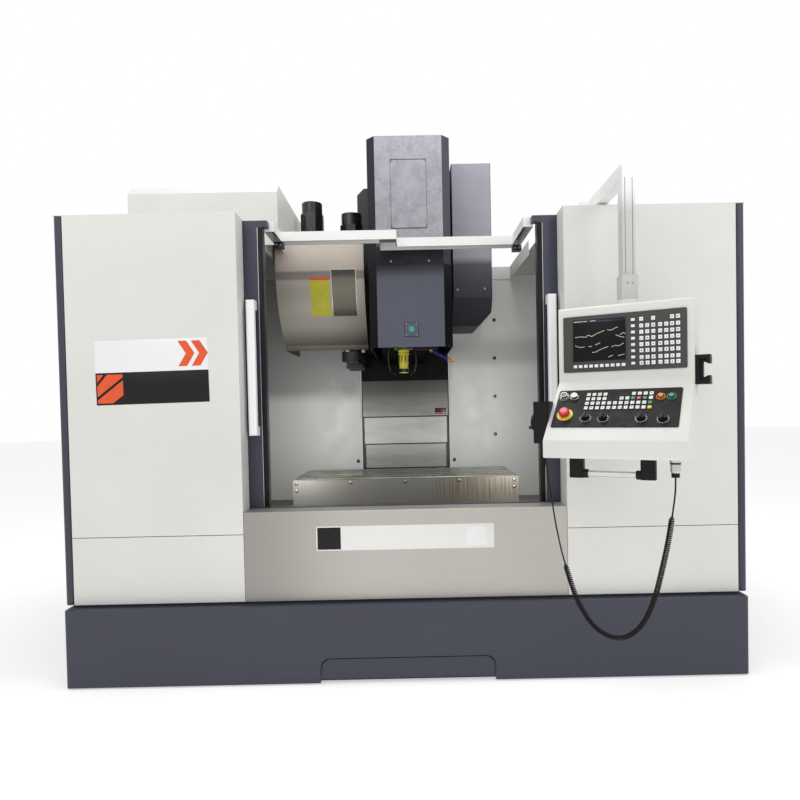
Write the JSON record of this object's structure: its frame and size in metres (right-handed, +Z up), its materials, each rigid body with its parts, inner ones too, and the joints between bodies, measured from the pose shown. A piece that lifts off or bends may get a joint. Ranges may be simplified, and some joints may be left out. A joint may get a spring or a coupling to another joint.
{
  "type": "cnc vertical machining centre",
  "caption": "Vertical machining centre with open sliding doors, moving table, spindle head, arm tool changer and a swinging control pendant on a coiled handwheel cord",
  "frame": {"origin": "bottom centre of the machine's box, on the floor, without the handwheel cord", "axes": "+X to the right seen from the front, +Y to the back, +Z up"},
  "size_m": [3, 2.6668, 2.64],
  "materials": {
    "cream_paint": "satin",
    "wall_paint": "satin",
    "dark_paint": "satin",
    "head_paint": "fine texture",
    "stainless": "brushed",
    "guard_steel": "oiled",
    "table_steel": "ground",
    "casting": "painted",
    "spindle_steel": "ground",
    "holder_yellow": "satin",
    "release_teal": "gloss",
    "hose_blue": "gloss",
    "changer_black": "satin",
    "window": "clear",
    "handle_aluminium": "anodised",
    "bezel": "satin",
    "operator_face": "satin",
    "fitting_black": "satin",
    "stop_red": "gloss",
    "start_green": "gloss",
    "hold_orange": "gloss",
    "cord_black": "matte"
  },
  "bodies": {
    "root": {"base_skirt": "dark_paint", "coolant_tank": "dark_paint", "machine_bed": "casting", "leveling_feet": "casting", "front_panels": "cream_paint", "front_apron": "stainless", "side_panels": "dark_paint", "back_panels": "wall_paint", "roof_panels": "cream_paint", "magazine_hood": "cream_paint", "chip_chutes": "wall_paint", "door_rails": "stainless", "tie_beam": "cream_paint", "electrical_cabinet": "wall_paint", "column": "dark_paint", "magazine_cover": "stainless", "changer_frame": "casting", "drive_motors": "changer_black", "column_side_cover": "dark_paint", "z_cover_fixed": "stainless"},
    "cabinet_door": {"cabinet_door": "wall_paint"},
    "left_door": {"left_door": "dark_paint", "left_window": "window", "left_handle": "handle_aluminium"},
    "right_door": {"right_door": "dark_paint", "right_window": "window", "right_handle": "handle_aluminium"},
    "saddle": {"saddle": "casting"},
    "table": {"work_table": "table_steel", "table_guard": "guard_steel"},
    "head": {"spindle_head": "casting", "head_lower_cover": "head_paint", "head_motor_cover": "head_paint", "z_cover_upper": "stainless", "coolant_hose": "hose_blue"},
    "z_cover_second": {"z_cover_second": "stainless"},
    "z_cover_third": {"z_cover_third": "stainless"},
    "spindle": {"spindle": "spindle_steel", "tool_holder": "holder_yellow"},
    "tool_release_button": {"tool_release_button": "release_teal"},
    "exchange_arm": {"exchange_arm": "changer_black"},
    "magazine_disc": {"magazine_disc": "changer_black"},
    "swing_arm": {"swing_arm": "handle_aluminium"},
    "pendant": {"pendant_box": "cream_paint", "screen_panel": "bezel", "operator_panel": "operator_face", "grab_handle": "fitting_black", "pendant_fittings": "fitting_black", "handwheel_unit": "fitting_black", "cord_lead_in": "cord_black", "coil_cord": "cord_black", "cord_lead_out": "cord_black"},
    "emergency_stop": {"emergency_stop": "stop_red"},
    "start_button": {"start_button": "start_green"},
    "hold_button": {"hold_button": "hold_orange"},
    "mode_knob": {"mode_knob": "fitting_black"},
    "feed_knob": {"feed_knob": "fitting_black"},
    "rapid_knob": {"rapid_knob": "fitting_black"},
    "spindle_knob": {"spindle_knob": "fitting_black"}
  },
  "joints": [
    {"name": "left_door_slide", "type": "slide", "parent": "root", "child": "left_door", "axis": [1, 0, 0], "range_m": [0, 0.619]},
    {"name": "right_door_slide", "type": "slide", "parent": "root", "child": "right_door", "axis": [-1, 0, 0], "range_m": [0, 0.619]},
    {"name": "cabinet_door_hinge", "type": "hinge", "parent": "root", "child": "cabinet_door", "pos_m": [1.4495, 1.14389, 1.3], "axis": [0, 0, -1], "range_deg": [0, 110]},
    {"name": "y_axis", "type": "slide", "parent": "root", "child": "saddle", "axis": [0, 1, 0], "range_m": [-0.3, 0.25]},
    {"name": "x_axis", "type": "slide", "parent": "saddle", "child": "table", "axis": [1, 0, 0], "range_m": [-0.55, 0.55]},
    {"name": "z_axis", "type": "slide", "parent": "root", "child": "head", "axis": [0, 0, 1], "range_m": [-0.54, 0.02]},
    {"name": "z_cover_second_slide", "type": "slide", "parent": "root", "child": "z_cover_second", "axis": [0, 0, 1], "range_m": [-0.39, 0.015]},
    {"name": "z_cover_third_slide", "type": "slide", "parent": "root", "child": "z_cover_third", "axis": [0, 0, 1], "range_m": [-0.233, 0.009]},
    {"name": "spindle_turn", "type": "hinge", "parent": "head", "child": "spindle", "pos_m": [0, 0.18339, 1.6], "axis": [0, 0, 1], "continuous": true},
    {"name": "tool_release_press", "type": "slide", "parent": "head", "child": "tool_release_button", "axis": [0, 1, 0], "range_m": [0, 0.004], "stiffness_N_per_m": 400},
    {"name": "exchange_arm_swing", "type": "hinge", "parent": "root", "child": "exchange_arm", "pos_m": [-0.284, 0.34339, 1.47], "axis": [0, 0, 1], "range_deg": [0, 60.6]},
    {"name": "magazine_turn", "type": "hinge", "parent": "root", "child": "magazine_disc", "pos_m": [-0.55, 0.42339, 1.795], "axis": [1, 0, 0], "continuous": true},
    {"name": "pendant_arm_swing", "type": "hinge", "parent": "root", "child": "swing_arm", "pos_m": [0.8865, -0.45661, 2.09], "axis": [0, 0, 1], "range_deg": [-10, 20]},
    {"name": "pendant_swivel", "type": "hinge", "parent": "swing_arm", "child": "pendant", "pos_m": [0.8865, -0.93907, 1.59], "axis": [0, 0, 1], "range_deg": [-45, 45]},
    {"name": "emergency_stop_press", "type": "slide", "parent": "pendant", "child": "emergency_stop", "axis": [0.3519, 0.6096, -0.7103], "range_m": [0, 0.006]},
    {"name": "start_press", "type": "slide", "parent": "pendant", "child": "start_button", "axis": [0.3519, 0.6096, -0.7103], "range_m": [0, 0.004], "stiffness_N_per_m": 400},
    {"name": "hold_press", "type": "slide", "parent": "pendant", "child": "hold_button", "axis": [0.3519, 0.6096, -0.7103], "range_m": [0, 0.004], "stiffness_N_per_m": 400},
    {"name": "mode_knob_turn", "type": "hinge", "parent": "pendant", "child": "mode_knob", "pos_m": [0.6707, -1.09486, 1.14463], "axis": [-0.3519, -0.6096, 0.7103], "range_deg": [-135, 135]},
    {"name": "feed_knob_turn", "type": "hinge", "parent": "pendant", "child": "feed_knob", "pos_m": [0.72577, -1.12747, 1.14392], "axis": [-0.3519, -0.6096, 0.7103], "range_deg": [-135, 135]},
    {"name": "rapid_knob_turn", "type": "hinge", "parent": "pendant", "child": "rapid_knob", "pos_m": [0.83937, -1.1947, 1.14251], "axis": [-0.3519, -0.6096, 0.7103], "range_deg": [-135, 135]},
    {"name": "spindle_knob_turn", "type": "hinge", "parent": "pendant", "child": "spindle_knob", "pos_m": [0.90117, -1.23366, 1.1397], "axis": [-0.3519, -0.6096, 0.7103], "range_deg": [-135, 135]}
  ],
  "couplings": [
    {"joint": "z_cover_second_slide", "follows": "z_axis", "ratio": 0.72},
    {"joint": "z_cover_third_slide", "follows": "z_axis", "ratio": 0.43}
  ]
}
